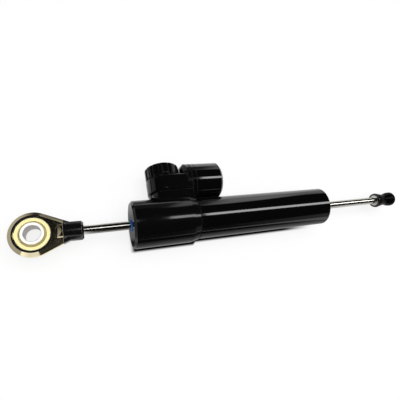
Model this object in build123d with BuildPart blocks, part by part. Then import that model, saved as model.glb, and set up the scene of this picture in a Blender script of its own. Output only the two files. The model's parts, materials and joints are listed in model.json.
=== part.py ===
from build123d import *
from math import asin, cos, sin
import os

os.makedirs("parts", exist_ok=True)

# Motorcycle steering damper: a through-rod hydraulic damper with a piggyback reservoir.
# The origin is the centre of the eye bearing's bore. +X runs along the rod to its free end,
# +Y towards the reservoir and +Z up along the eye's bore. The damper lies on its side, and the
# housing leans about the rod until its head and its reservoir both touch the table.

# Driving sizes along the rod
neck_end = 30.0
front_exposure = 31.0
head_length = 46.4
tube_length = 112.3
rear_exposure = 62.3
stroke_out = 62.0
stroke_in = 28.0

# Driving sizes across the rod
rod_dia = 6.0
tube_dia = 30.0
head_step = 1.75
reservoir_dia = 28.0
reservoir_gap = 0.75
reservoir_length = 24.7
adjuster_from_end = 18.7
tower_dia = 26.0
tower_height = 12.1
web_height = 3.15
knob_dia = 25.6
knob_height = 9.3

# Fits
running_gap = 0.05
seat_gap = 0.02
part_gap = 0.3
overrun = 1.0

# Stations
head_face = neck_end + front_exposure
head_end = head_face + head_length
tube_end = head_end + tube_length
washer_face = tube_end + rear_exposure
rod_radius = rod_dia / 2
tube_radius = tube_dia / 2
head_radius = tube_radius + head_step
reservoir_radius = reservoir_dia / 2
reservoir_offset = tube_radius + reservoir_radius + reservoir_gap
adjuster_x = head_end - adjuster_from_end
block_bottom = head_radius + web_height
tower_top = block_bottom + tower_height
tower_radius = tower_dia / 2
knob_radius = knob_dia / 2

# The housing's own plane: local x is the rod's direction, local y points across from the tube to
# the reservoir, and the normal is the housing's own upright direction.
lean = asin((head_radius - reservoir_radius) / reservoir_offset)
across = Vector(0, cos(lean), -sin(lean))
upright = Vector(0, sin(lean), cos(lean))
housing_plane = Plane(origin=(0, 0, 0), x_dir=(1, 0, 0), z_dir=upright)
adjuster_axis = Axis((adjuster_x, 0, 0), across)
reservoir_axis = Axis(across * reservoir_offset, (1, 0, 0))


def plan_at(height):
    """A plane square to the adjuster's axis, at a height above the tube's axis."""
    return Plane(origin=across * height, x_dir=(1, 0, 0), z_dir=across)


def section_at(station, height=0.0):
    """A plane square to the rod, centred at a height above the tube's axis."""
    return Plane(origin=across * height + Vector(station, 0, 0), x_dir=across, z_dir=(1, 0, 0))


def around_rod(*points):
    """Points of a turned profile, each a station and a radius, drawn beside the rod's axis."""
    return Polygon(*points, align=None)


def around_adjuster(*points):
    """Points given as radius and height, drawn beside the adjuster's axis."""
    return Polygon(*[(adjuster_x + radius, height) for radius, height in points], align=None)


def around_reservoir(*points):
    """Points given as station and radius, drawn beside the reservoir's axis."""
    return Polygon(*[(x, reservoir_offset + radius) for x, radius in points], align=None)


# Rod eye sizes
bearing_bore = 10.0
ball_wall = 4.0
race_wall = 2.0
ball_width = 12.0
race_width = 7.5
race_chamfer = 0.5
bore_chamfer = 0.4
eye_wall = 3.2
eye_thickness = 9.5
eye_chamfer = 2.4
neck_dia = 12.8
neck_start = 19.5
neck_chamfer = 1.2
shoulder_gap = 0.3
shoulder_slope = 2.3
rod_socket_wall = 4.0
snap_ring_width = 0.6
snap_ring_height = 1.38
snap_ring_depth = 0.7
snap_ring_opening = 4.0

ball_radius = bearing_bore / 2 + ball_wall
seat_radius = ball_radius + race_wall
eye_radius = seat_radius + eye_wall
neck_radius = neck_dia / 2
groove_radius = seat_radius + snap_ring_depth
ring_outer_radius = groove_radius - seat_gap
shoulder_low_radius = eye_radius + shoulder_gap
shoulder_high_radius = shoulder_low_radius + shoulder_slope
socket_start = seat_radius + rod_socket_wall
face_height = eye_thickness / 2

with BuildPart() as rod_eye:
    with BuildSketch(Plane.XY.offset(-face_height)):
        Circle(eye_radius)
        with Locations((neck_start, 0)):
            Circle(neck_radius)
        make_hull()
    extrude(amount=eye_thickness)
    chamfer(rod_eye.faces().filter_by(Axis.Z).edges(), eye_chamfer)
    with BuildSketch(Plane.YZ.offset(seat_radius)):
        Circle(neck_radius)
    extrude(amount=neck_end - seat_radius)
    chamfer(rod_eye.faces().sort_by(Axis.X)[-1].edges(), neck_chamfer)
    # The cutter that faces the eye leaves a conical shoulder round it, above and below.
    shoulder_rise = neck_radius + overrun - face_height
    shoulder_spread = shoulder_rise * (shoulder_high_radius - shoulder_low_radius) / (neck_radius - face_height)
    with BuildSketch(Plane.XZ):
        for side in (1, -1):
            Polygon(
                (0, side * face_height),
                (shoulder_low_radius, side * face_height),
                (shoulder_low_radius + shoulder_spread, side * (face_height + shoulder_rise)),
                (0, side * (face_height + shoulder_rise)),
                align=None,
            )
    revolve(axis=Axis.Z, mode=Mode.SUBTRACT)
    with BuildSketch(Plane.XY.offset(-face_height - overrun)):
        Circle(seat_radius)
    extrude(amount=eye_thickness + 2 * overrun, mode=Mode.SUBTRACT)
    for side in (1, -1):
        groove_centre = side * (race_width + snap_ring_width) / 2
        groove_width = snap_ring_width + 2 * seat_gap
        with BuildSketch(Plane.XY.offset(groove_centre - groove_width / 2)):
            Circle(groove_radius)
        extrude(amount=groove_width, mode=Mode.SUBTRACT)
    with BuildSketch(Plane.YZ.offset(socket_start)):
        Circle(rod_radius + seat_gap)
    extrude(amount=neck_end, mode=Mode.SUBTRACT)
rod_eye.part.label = "rod_eye"
export_step(rod_eye.part, "parts/rod_eye.step")

with BuildPart() as bearing_race:
    with BuildSketch(Plane.XY.offset(-race_width / 2)):
        Circle(seat_radius - seat_gap)
    extrude(amount=race_width)
    chamfer(bearing_race.edges(), race_chamfer)
    Sphere(ball_radius + running_gap, mode=Mode.SUBTRACT)
bearing_race.part.label = "bearing_race"
export_step(bearing_race.part, "parts/bearing_race.step")

with BuildPart() as bearing_ball:
    Sphere(ball_radius)
    with BuildSketch(Plane.XY.offset(-ball_width / 2)):
        Circle(2 * ball_radius)
    extrude(amount=ball_width, mode=Mode.INTERSECT)
    with BuildSketch(Plane.XY.offset(-ball_width)):
        Circle(bearing_bore / 2)
    extrude(amount=2 * ball_width, mode=Mode.SUBTRACT)
    chamfer(bearing_ball.edges().filter_by(GeomType.CIRCLE).sort_by(SortBy.RADIUS)[:2], bore_chamfer)
bearing_ball.part.label = "bearing_ball"
export_step(bearing_ball.part, "parts/bearing_ball.step")

with BuildPart() as bearing_snap_rings:
    for side in (1, -1):
        ring_centre = side * (race_width + snap_ring_width) / 2
        with BuildSketch(Plane.XY.offset(ring_centre - snap_ring_width / 2)):
            Circle(ring_outer_radius)
            Circle(ring_outer_radius - snap_ring_height, mode=Mode.SUBTRACT)
            with Locations((-groove_radius, 0)):
                Rectangle(groove_radius, snap_ring_opening, mode=Mode.SUBTRACT)
        extrude(amount=snap_ring_width)
bearing_snap_rings.part.label = "bearing_snap_rings"
export_step(bearing_snap_rings.part, "parts/bearing_snap_rings.step")

# Rod, piston and free end sizes
piston_length = 12.0
piston_margin = 0.4
tube_wall = 2.5
return_gap = 1.2
liner_wall = 1.3
liner_from_head_end = 14.8
clip_width = 0.8
clip_depth = 0.5
clip_radius = 4.8
clip_opening = 4.6
piston_ring_width = 5.0
piston_ring_depth = 1.0
piston_side_gap = 0.2
cap_length = 20.5
cap_end_wall = 3.0
washer_thickness = 1.2
washer_radius = 6.0
cap_lip_radius = 6.3
cap_waist_radius = 4.9
cap_bulge_radius = 6.2
cap_waist_share = 0.5
cap_bulge_share = 0.82
cap_end_round = 2.2
rod_end_chamfer = 0.5

cap_start = washer_face + washer_thickness
cap_end = washer_face + cap_length
rod_start = socket_start + part_gap
rod_end = cap_end - cap_end_wall
tube_bore = tube_radius - tube_wall
liner_outer = tube_bore - return_gap
liner_radius = liner_outer - liner_wall
liner_seat = head_end - liner_from_head_end
piston_centre = liner_seat + stroke_out + piston_length / 2 + piston_margin
clip_stations = [piston_centre + side * (piston_length + clip_width) / 2 for side in (-1, 1)]

with BuildPart() as damper_rod:
    with BuildSketch(Plane.YZ.offset(rod_start)):
        Circle(rod_radius)
    extrude(amount=rod_end - rod_start)
    chamfer(damper_rod.faces().filter_by(Axis.X).edges(), rod_end_chamfer)
    for station in clip_stations:
        groove_width = clip_width + 2 * seat_gap
        with BuildSketch(Plane.YZ.offset(station - groove_width / 2)):
            Circle(rod_radius)
            Circle(rod_radius - clip_depth, mode=Mode.SUBTRACT)
        extrude(amount=groove_width, mode=Mode.SUBTRACT)
damper_rod.part.label = "damper_rod"
export_step(damper_rod.part, "parts/damper_rod.step")

with BuildPart() as piston_clips:
    for station in clip_stations:
        with BuildSketch(Plane.YZ.offset(station - clip_width / 2)):
            Circle(clip_radius)
            Circle(rod_radius - clip_depth + seat_gap, mode=Mode.SUBTRACT)
            with Locations((clip_radius / 2, 0)):
                Rectangle(clip_radius, clip_opening, mode=Mode.SUBTRACT)
        extrude(amount=clip_width)
piston_clips.part.label = "piston_clips"
export_step(piston_clips.part, "parts/piston_clips.step")

piston_radius = liner_radius - piston_side_gap
piston_groove_radius = piston_radius - piston_ring_depth
piston_half = piston_length / 2 - running_gap
ring_half = piston_ring_width / 2
piston_bevel = 1.0

with BuildPart() as damper_piston:
    with BuildSketch(Plane.XY):
        around_rod(
            (piston_centre - piston_half, rod_radius + running_gap),
            (piston_centre - piston_half, piston_radius - piston_bevel),
            (piston_centre - piston_half + piston_bevel, piston_radius),
            (piston_centre - ring_half, piston_radius),
            (piston_centre - ring_half, piston_groove_radius),
            (piston_centre + ring_half, piston_groove_radius),
            (piston_centre + ring_half, piston_radius),
            (piston_centre + piston_half - piston_bevel, piston_radius),
            (piston_centre + piston_half, piston_radius - piston_bevel),
            (piston_centre + piston_half, rod_radius + running_gap),
        )
    revolve(axis=Axis.X)
damper_piston.part.label = "damper_piston"
export_step(damper_piston.part, "parts/damper_piston.step")

with BuildPart() as piston_ring:
    with BuildSketch(Plane.YZ.offset(piston_centre - ring_half + seat_gap)):
        Circle(liner_radius - running_gap)
        Circle(piston_groove_radius + seat_gap, mode=Mode.SUBTRACT)
    extrude(amount=piston_ring_width - 2 * seat_gap)
piston_ring.part.label = "piston_ring"
export_step(piston_ring.part, "parts/piston_ring.step")

with BuildPart() as bump_washer:
    with BuildSketch(Plane.YZ.offset(washer_face)):
        Circle(washer_radius)
        Circle(rod_radius + seat_gap, mode=Mode.SUBTRACT)
    extrude(amount=washer_thickness)
bump_washer.part.label = "bump_washer"
export_step(bump_washer.part, "parts/bump_washer.step")

# The rubber cap: a lip behind the washer, a drawn-in waist and a rounded bulge at the end.
cap_waist = cap_start + cap_waist_share * (cap_end - cap_start)
cap_bulge = cap_start + cap_bulge_share * (cap_end - cap_start)

with BuildPart() as rod_end_cap:
    with BuildSketch(Plane.XY):
        with BuildLine():
            Line((cap_start, rod_radius + seat_gap), (cap_start, cap_lip_radius))
            Spline(
                (cap_start, cap_lip_radius),
                (cap_waist, cap_waist_radius),
                (cap_bulge, cap_bulge_radius),
                tangents=((1, -0.12), (1, 0)),
            )
            Line((cap_bulge, cap_bulge_radius), (cap_end - cap_end_round, cap_bulge_radius))
            RadiusArc(
                (cap_end - cap_end_round, cap_bulge_radius),
                (cap_end, cap_bulge_radius - cap_end_round),
                cap_end_round,
            )
            Polyline(
                (cap_end, cap_bulge_radius - cap_end_round),
                (cap_end, 0),
                (rod_end + seat_gap, 0),
                (rod_end + seat_gap, rod_radius + seat_gap),
                (cap_start, rod_radius + seat_gap),
            )
        make_face()
    revolve(axis=Axis.X)
rod_end_cap.part.label = "rod_end_cap"
export_step(rod_end_cap.part, "parts/rod_end_cap.step")

# Housing sizes: head, tube, liner and end plug
head_chamfer = 1.5
taper_length = 5.5
taper_drop = 1.3
web_inset = 1.8
web_fillet = 3.0
block_fillet = 1.6
collar_width = 5.2
collar_chamfer = 2.4
wiper_radius = 5.2
wiper_depth = 3.0
wiper_lip_radius = 4.3
wiper_lip_length = 0.8
wiper_hollow_radius = 4.0
wiper_hollow_depth = 1.2
seal_web = 1.0
seal_radius = 6.0
seal_length = 4.0
seal_hollow = 2.0
seal_lip = 0.8
bush_length = 9.0
rear_bush_length = 5.0
oil_room_step = 3.0
liner_seat_depth = 2.0
gallery_width = 2.0
gallery_depth = 0.7
tube_seam = 1.0
spigot_step = 1.0
tube_o_ring_from_end = 6.0
tube_o_ring_width = 1.2
tube_o_ring_depth = 0.7
tube_end_chamfer = 0.5
plug_length = 20.5
plug_nose_length = 2.5
plug_shoulder_from_end = 3.2
plug_boss_radius = 8.0
plug_o_ring_from_end = 8.0
plug_o_ring_width = 1.6
plug_o_ring_depth = 1.0
tube_ring_width = 1.2
tube_ring_depth = 0.8
tube_ring_height = 2.4
tube_ring_opening = 7.0
return_port_radius = 0.7
return_port_from_plug = 1.3
return_port_count = 6

block_end = head_end
collar_start = block_end - collar_width
web_radius = tower_radius - web_inset
spigot_radius = tube_radius - spigot_step
oil_room_radius = liner_radius - oil_room_step
gallery_start = liner_seat + liner_seat_depth
gallery_radius = tube_bore + gallery_depth
web_bore = rod_radius + part_gap
seal_start = head_face + wiper_depth + seal_web
bush_start = seal_start + seal_length
oil_room_start = bush_start + bush_length + 2 * seat_gap
spigot_start = gallery_start + gallery_width
tube_shoulder = head_end + tube_seam
plug_start = tube_end - plug_length
liner_end = plug_start + plug_nose_length
plug_shoulder = tube_end - plug_shoulder_from_end
rear_seal_start = plug_start + rear_bush_length + seat_gap
rear_web_start = rear_seal_start + seal_length + seat_gap

# Adjuster bore sizes
port_radius = 1.2
port_length = 1.3
valve_seat_radius = 3.0
valve_seat_height = 2.3
orifice_radius = 1.0
chamber_radius = 3.6
chamber_above_port = 2.0
guide_radius = 4.05
guide_height = 8.3
bush_bore_radius = 6.0
gallery_port_radius = 1.0
riser_radius = 0.8
riser_below_guide_top = 1.3

# Heights from the tube's axis
seat_bottom = oil_room_radius + port_length
seat_top = seat_bottom + valve_seat_height
gallery_port_height = tube_bore
guide_bottom = gallery_port_height + chamber_above_port
guide_top = guide_bottom + guide_height
riser_x = gallery_start + gallery_width / 2
riser_top = guide_top - riser_below_guide_top
reservoir_port_height = riser_top - riser_radius

# Reservoir sizes
reservoir_spigot_step = 2.0
reservoir_wall = 1.5
reservoir_spigot_length = 3.6
reservoir_end_wall = 3.0
reservoir_end_chamfer = 1.6
reservoir_seam = 0.8
reservoir_seam_depth = 0.9
reservoir_band = 2.6
reservoir_line_width = 0.5
reservoir_line_depth = 0.35
reservoir_o_ring_from_face = 2.6
reservoir_o_ring_width = 1.2
reservoir_o_ring_depth = 0.7
charge_hole_radius = 1.5
charge_recess_radius = 3.2
charge_recess_depth = 1.4
reservoir_piston_from_face = 4.6
reservoir_piston_length = 7.0
reservoir_piston_ring_width = 2.0
reservoir_piston_ring_depth = 1.4
reservoir_piston_dish = 6.5
reservoir_piston_dish_depth = 3.0
reservoir_end = block_end + reservoir_length
reservoir_spigot_radius = reservoir_radius - reservoir_spigot_step
reservoir_bore = reservoir_spigot_radius - reservoir_wall
reservoir_socket_start = block_end - reservoir_spigot_length
reservoir_piston_start = block_end + reservoir_piston_from_face

# The tower carries the adjuster. It stands over the head on a narrower web.
with BuildPart() as tower_block:
    with BuildSketch(plan_at(block_bottom)):
        with Locations((adjuster_x, 0)):
            Circle(tower_radius)
        with Locations(((adjuster_x + block_end) / 2, 0)):
            Rectangle(block_end - adjuster_x, tower_dia)
    extrude(amount=tower_top - block_bottom)
    by_height = tower_block.faces().sort_by(Axis((0, 0, 0), across))
    fillet([by_height[0].edges(), by_height[-1].edges()], block_fillet)

# The saddle where the web meets the head is rounded before the tower block joins them.
with BuildPart() as head_and_web:
    with BuildSketch(Plane.XY):
        around_rod(
            (head_face, 0),
            (head_face, head_radius - head_chamfer),
            (head_face + head_chamfer, head_radius),
            (head_end - taper_length, head_radius),
            (head_end, head_radius - taper_drop),
            (head_end, 0),
        )
    revolve(axis=Axis.X)
    with BuildSketch(plan_at(0)):
        with Locations((adjuster_x, 0)):
            Circle(web_radius)
        with Locations(((adjuster_x + head_end) / 2, 0)):
            Rectangle(head_end - adjuster_x, 2 * web_radius)
    extrude(amount=block_bottom + block_fillet)
    web_start = adjuster_x - web_radius
    ahead = [edge for edge in head_and_web.edges() if web_start < edge.center().X < head_end - seat_gap]
    saddle = [edge for edge in ahead if head_radius / 2 < edge.center().dot(across) < head_radius]
    fillet(saddle, web_fillet)

with BuildPart() as head_block:
    add(head_and_web.part)
    add(tower_block.part)
    with BuildSketch(housing_plane):
        around_reservoir(
            (collar_start, 0),
            (collar_start, reservoir_radius - collar_chamfer),
            (collar_start + collar_chamfer, reservoir_radius),
            (block_end, reservoir_radius),
            (block_end, 0),
        )
    revolve(axis=reservoir_axis)
    # Rod bore: wiper, web, seal and bush, oil room, liner seat, gallery and tube socket.
    with BuildSketch(Plane.XY):
        around_rod(
            (head_face - overrun, 0),
            (head_face - overrun, wiper_radius),
            (head_face + wiper_depth, wiper_radius),
            (head_face + wiper_depth, web_bore),
            (seal_start, web_bore),
            (seal_start, seal_radius),
            (oil_room_start, seal_radius),
            (oil_room_start, oil_room_radius),
            (liner_seat, oil_room_radius),
            (liner_seat, liner_outer + seat_gap),
            (gallery_start, liner_outer + seat_gap),
            (gallery_start, gallery_radius),
            (spigot_start, gallery_radius),
            (spigot_start, spigot_radius),
            (head_end + overrun, spigot_radius),
            (head_end + overrun, 0),
        )
    revolve(axis=Axis.X, mode=Mode.SUBTRACT)
    # Adjuster bore: port, valve seat, valve chamber, needle guide and bush.
    with BuildSketch(housing_plane):
        around_adjuster(
            (0, seat_bottom / 2),
            (port_radius, seat_bottom / 2),
            (port_radius, seat_bottom),
            (valve_seat_radius, seat_bottom),
            (valve_seat_radius, seat_top),
            (chamber_radius, seat_top),
            (chamber_radius, guide_bottom),
            (guide_radius, guide_bottom),
            (guide_radius, guide_top),
            (bush_bore_radius, guide_top),
            (bush_bore_radius, tower_top + overrun),
            (0, tower_top + overrun),
        )
    revolve(axis=adjuster_axis, mode=Mode.SUBTRACT)
    # Drillings: valve chamber to gallery, and gallery to reservoir.
    with BuildSketch(section_at(adjuster_x, gallery_port_height)):
        Circle(gallery_port_radius)
    extrude(amount=gallery_start + gallery_width / 2 - adjuster_x, mode=Mode.SUBTRACT)
    with BuildSketch(plan_at(gallery_port_height)):
        with Locations((riser_x, 0)):
            Circle(riser_radius)
    extrude(amount=riser_top - gallery_port_height, mode=Mode.SUBTRACT)
    with BuildSketch(section_at(riser_x, reservoir_port_height)):
        Circle(riser_radius)
    extrude(amount=reservoir_socket_start + overrun - riser_x, mode=Mode.SUBTRACT)
    with BuildSketch(section_at(reservoir_socket_start, reservoir_offset)):
        Circle(reservoir_spigot_radius)
    extrude(amount=block_end + overrun - reservoir_socket_start, mode=Mode.SUBTRACT)
head_block.part.label = "head_block"
export_step(head_block.part, "parts/head_block.step")


def gland_bush(start, length):
    """The guide bush the rod runs in."""
    with BuildPart() as bush:
        with BuildSketch(Plane.YZ.offset(start)):
            Circle(seal_radius - seat_gap)
            Circle(rod_radius + running_gap, mode=Mode.SUBTRACT)
        extrude(amount=length)
        rims = bush.edges().filter_by(GeomType.CIRCLE).group_by(SortBy.RADIUS)[-1]
        chamfer(rims, seal_lip / 2)
    return bush.part


def gland_seal(start, oil_side):
    """A U-cup seal. Its hollow faces the oil, on the side given as 1 or -1."""
    middle = (rod_radius + seal_radius) / 2
    face = start + seal_length / 2 + oil_side * seal_length / 2
    floor = face - oil_side * seal_hollow
    with BuildPart() as seal:
        with BuildSketch(Plane.YZ.offset(start)):
            Circle(seal_radius - seat_gap)
            Circle(rod_radius + running_gap, mode=Mode.SUBTRACT)
        extrude(amount=seal_length)
        with BuildSketch(Plane.XY):
            around_rod((face, middle - seal_lip), (floor, middle), (face, middle + seal_lip))
        revolve(axis=Axis.X, mode=Mode.SUBTRACT)
    return seal.part


def gland_wiper(face, outward):
    """A wiper flush in its pocket, with a thin lip standing out, on the side given as 1 or -1."""
    with BuildPart() as wiper:
        with BuildSketch(Plane.XY):
            around_rod(
                (face - outward * (wiper_depth - seat_gap), rod_radius + running_gap),
                (face - outward * (wiper_depth - seat_gap), wiper_radius - seat_gap),
                (face - outward * seat_gap, wiper_radius - seat_gap),
                (face - outward * seat_gap, wiper_lip_radius),
                (face + outward * wiper_lip_length, wiper_hollow_radius),
                (face - outward * wiper_hollow_depth, wiper_hollow_radius - seal_lip),
                (face - outward * wiper_hollow_depth, rod_radius + running_gap),
            )
        revolve(axis=Axis.X)
    return wiper.part


front_bush = gland_bush(bush_start + seat_gap, bush_length)
front_bush.label = "front_bush"
export_step(front_bush, "parts/front_bush.step")

front_seal = gland_seal(seal_start, 1)
front_seal.label = "front_seal"
export_step(front_seal, "parts/front_seal.step")

front_wiper = gland_wiper(head_face, -1)
front_wiper.label = "front_wiper"
export_step(front_wiper, "parts/front_wiper.step")

rear_bush = gland_bush(plug_start, rear_bush_length)
rear_bush.label = "rear_bush"
export_step(rear_bush, "parts/rear_bush.step")

rear_seal = gland_seal(rear_seal_start, -1)
rear_seal.label = "rear_seal"
export_step(rear_seal, "parts/rear_seal.step")

rear_wiper = gland_wiper(tube_end - wiper_lip_length - seat_gap, 1)
rear_wiper.label = "rear_wiper"
export_step(rear_wiper, "parts/rear_wiper.step")

with BuildPart() as damper_tube:
    with BuildSketch(Plane.XY):
        around_rod(
            (spigot_start, tube_bore),
            (spigot_start, spigot_radius - seat_gap),
            (tube_shoulder, spigot_radius - seat_gap),
            (tube_shoulder, tube_radius),
            (tube_end - tube_end_chamfer, tube_radius),
            (tube_end, tube_radius - tube_end_chamfer),
            (tube_end, tube_bore),
        )
    revolve(axis=Axis.X)
    with BuildSketch(Plane.YZ.offset(head_end - tube_o_ring_from_end)):
        Circle(tube_radius)
        Circle(spigot_radius - tube_o_ring_depth, mode=Mode.SUBTRACT)
    extrude(amount=tube_o_ring_width, mode=Mode.SUBTRACT)
    with BuildSketch(Plane.YZ.offset(plug_shoulder)):
        Circle(tube_bore + tube_ring_depth)
    extrude(amount=tube_ring_width + 2 * seat_gap, mode=Mode.SUBTRACT)
damper_tube.part.label = "damper_tube"
export_step(damper_tube.part, "parts/damper_tube.step")


def o_ring(start, width, inner, outer, plane=Plane.YZ):
    """A seated O-ring, drawn at the square shape that it takes when it fills its groove."""
    with BuildPart() as ring:
        with BuildSketch(plane.offset(start + seat_gap)):
            Circle(outer)
            Circle(inner + seat_gap, mode=Mode.SUBTRACT)
        extrude(amount=width - 2 * seat_gap)
        fillet(ring.edges(), (outer - inner) / 4)
    return ring.part


tube_o_ring = o_ring(
    head_end - tube_o_ring_from_end,
    tube_o_ring_width,
    spigot_radius - tube_o_ring_depth,
    spigot_radius - seat_gap,
)
tube_o_ring.label = "tube_o_ring"
export_step(tube_o_ring, "parts/tube_o_ring.step")

with BuildPart() as cylinder_liner:
    with BuildSketch(Plane.YZ.offset(liner_seat)):
        Circle(liner_outer)
        Circle(liner_radius, mode=Mode.SUBTRACT)
    extrude(amount=liner_end - liner_seat)
    # The return ports: a ring of holes just inside the far end.
    with BuildSketch(Plane.XZ):
        with Locations((plug_start - return_port_from_plug, 0)):
            Circle(return_port_radius)
    port_drill = extrude(amount=tube_bore, both=True, mode=Mode.PRIVATE)
    for i in range(return_port_count // 2):
        add(port_drill.rotate(Axis.X, i * 360 / return_port_count), mode=Mode.SUBTRACT)
cylinder_liner.part.label = "cylinder_liner"
export_step(cylinder_liner.part, "parts/cylinder_liner.step")

plug_groove_start = tube_end - plug_o_ring_from_end
plug_radius = tube_bore - seat_gap

with BuildPart() as tube_end_plug:
    with BuildSketch(Plane.XY):
        around_rod(
            (plug_start, seal_radius),
            (plug_start, liner_radius - seat_gap),
            (liner_end, liner_radius - seat_gap),
            (liner_end, plug_radius),
            (plug_groove_start, plug_radius),
            (plug_groove_start, plug_radius - plug_o_ring_depth),
            (plug_groove_start + plug_o_ring_width, plug_radius - plug_o_ring_depth),
            (plug_groove_start + plug_o_ring_width, plug_radius),
            (plug_shoulder, plug_radius),
            (plug_shoulder, plug_boss_radius),
            (tube_end, plug_boss_radius),
            (tube_end, wiper_radius),
            (tube_end - wiper_lip_length - wiper_depth, wiper_radius),
            (tube_end - wiper_lip_length - wiper_depth, web_bore),
            (rear_web_start, web_bore),
            (rear_web_start, seal_radius),
        )
    revolve(axis=Axis.X)
tube_end_plug.part.label = "tube_end_plug"
export_step(tube_end_plug.part, "parts/tube_end_plug.step")

plug_o_ring = o_ring(plug_groove_start, plug_o_ring_width, plug_radius - plug_o_ring_depth, plug_radius)
plug_o_ring.label = "plug_o_ring"
export_step(plug_o_ring, "parts/plug_o_ring.step")

ring_outer = tube_bore + tube_ring_depth - seat_gap

with BuildPart() as tube_ring:
    with BuildSketch(Plane.YZ.offset(plug_shoulder + seat_gap)):
        Circle(ring_outer)
        Circle(ring_outer - tube_ring_height, mode=Mode.SUBTRACT)
        with Locations((0, -ring_outer)):
            Rectangle(tube_ring_opening, ring_outer, mode=Mode.SUBTRACT)
    extrude(amount=tube_ring_width)
tube_ring.part.label = "tube_ring"
export_step(tube_ring.part, "parts/tube_ring.step")

# Reservoir
band_start = block_end + reservoir_seam
band_end = band_start + reservoir_band
line_end = band_end + reservoir_line_width
ring_groove = block_end - reservoir_o_ring_from_face
spigot_outer = reservoir_spigot_radius - seat_gap
reservoir_floor = reservoir_end - reservoir_end_wall
recess_floor = reservoir_end - charge_recess_depth

with BuildPart() as reservoir_barrel:
    with BuildSketch(housing_plane):
        around_reservoir(
            (reservoir_socket_start, reservoir_bore),
            (reservoir_socket_start, spigot_outer),
            (ring_groove, spigot_outer),
            (ring_groove, spigot_outer - reservoir_o_ring_depth),
            (ring_groove + reservoir_o_ring_width, spigot_outer - reservoir_o_ring_depth),
            (ring_groove + reservoir_o_ring_width, spigot_outer),
            (block_end, spigot_outer),
            (block_end, reservoir_radius - reservoir_seam_depth),
            (band_start, reservoir_radius - reservoir_seam_depth),
            (band_start, reservoir_radius),
            (band_end, reservoir_radius),
            (band_end, reservoir_radius - reservoir_line_depth),
            (line_end, reservoir_radius - reservoir_line_depth),
            (line_end, reservoir_radius),
            (reservoir_end - reservoir_end_chamfer, reservoir_radius),
            (reservoir_end, reservoir_radius - reservoir_end_chamfer),
            (reservoir_end, charge_recess_radius),
            (recess_floor, charge_recess_radius),
            (recess_floor, charge_hole_radius),
            (reservoir_floor, charge_hole_radius),
            (reservoir_floor, reservoir_bore),
        )
    revolve(axis=reservoir_axis)
reservoir_barrel.part.label = "reservoir_barrel"
export_step(reservoir_barrel.part, "parts/reservoir_barrel.step")

reservoir_o_ring = o_ring(
    ring_groove,
    reservoir_o_ring_width,
    spigot_outer - reservoir_o_ring_depth,
    spigot_outer,
    section_at(0, reservoir_offset),
)
reservoir_o_ring.label = "reservoir_o_ring"
export_step(reservoir_o_ring, "parts/reservoir_o_ring.step")

charge_head_height = 1.2
charge_head_radius = 2.7
charge_key = 1.5
charge_key_depth = 0.8

with BuildPart() as charging_screw:
    with BuildSketch(section_at(reservoir_floor, reservoir_offset)):
        Circle(charge_hole_radius - seat_gap)
    extrude(amount=recess_floor - reservoir_floor)
    with BuildSketch(section_at(recess_floor, reservoir_offset)):
        Circle(charge_head_radius)
    extrude(amount=charge_head_height)
    with BuildSketch(section_at(recess_floor + charge_head_height - charge_key_depth, reservoir_offset)):
        RegularPolygon(charge_key, 6)
    extrude(amount=reservoir_end - recess_floor, mode=Mode.SUBTRACT)
charging_screw.part.label = "charging_screw"
export_step(charging_screw.part, "parts/charging_screw.step")

float_radius = reservoir_bore - running_gap
float_ring_start = reservoir_piston_start + (reservoir_piston_length - reservoir_piston_ring_width) / 2
float_ring_end = float_ring_start + reservoir_piston_ring_width
float_groove_radius = float_radius - reservoir_piston_ring_depth
float_end = reservoir_piston_start + reservoir_piston_length

with BuildPart() as reservoir_piston:
    with BuildSketch(housing_plane):
        around_reservoir(
            (reservoir_piston_start, 0),
            (reservoir_piston_start, float_radius),
            (float_ring_start, float_radius),
            (float_ring_start, float_groove_radius),
            (float_ring_end, float_groove_radius),
            (float_ring_end, float_radius),
            (float_end, float_radius),
            (float_end, reservoir_piston_dish),
            (float_end - reservoir_piston_dish_depth, reservoir_piston_dish),
            (float_end - reservoir_piston_dish_depth, 0),
        )
    revolve(axis=reservoir_axis)
reservoir_piston.part.label = "reservoir_piston"
export_step(reservoir_piston.part, "parts/reservoir_piston.step")

float_o_ring = o_ring(
    float_ring_start,
    reservoir_piston_ring_width,
    float_groove_radius,
    float_radius,
    section_at(0, reservoir_offset),
)
float_o_ring.label = "float_o_ring"
export_step(float_o_ring, "parts/float_o_ring.step")

# Adjuster: valve seat, needle in its guide, spindle in its bush, knob and knob screw
needle_lift = 1.0
needle_cone_height = 2.0
needle_land = 0.15
needle_tip_radius = 0.35
needle_cone_radius = 0.9
needle_shank_radius = 1.5
needle_block_lift = 0.5
needle_block_height = 5.5
needle_block_width = 4.3
needle_thread_floor = 1.5
spindle_tip_radius = 1.5
spindle_engagement = 2.5
flange_height = 1.4
flange_radius = 4.8
spindle_radius = 3.0
spindle_in_knob = 5.7
spindle_flat = 2.2
spindle_o_ring_above_guide = 4.2
spindle_o_ring_width = 1.6
spindle_o_ring_depth = 1.0
bush_below_top = 0.2
knob_lift = 0.3
knob_edge = 1.3
lobe_count = 12
lobe_turn = 14.0
flute_radius = 1.5
flute_depth = 1.1
knob_recess_radius = 4.4
knob_recess_depth = 2.6
screw_radius = 1.25
screw_head_radius = 3.6
screw_head_height = 2.0
screw_depth = 5.0
screw_key = 1.4
screw_key_depth = 1.2

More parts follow.
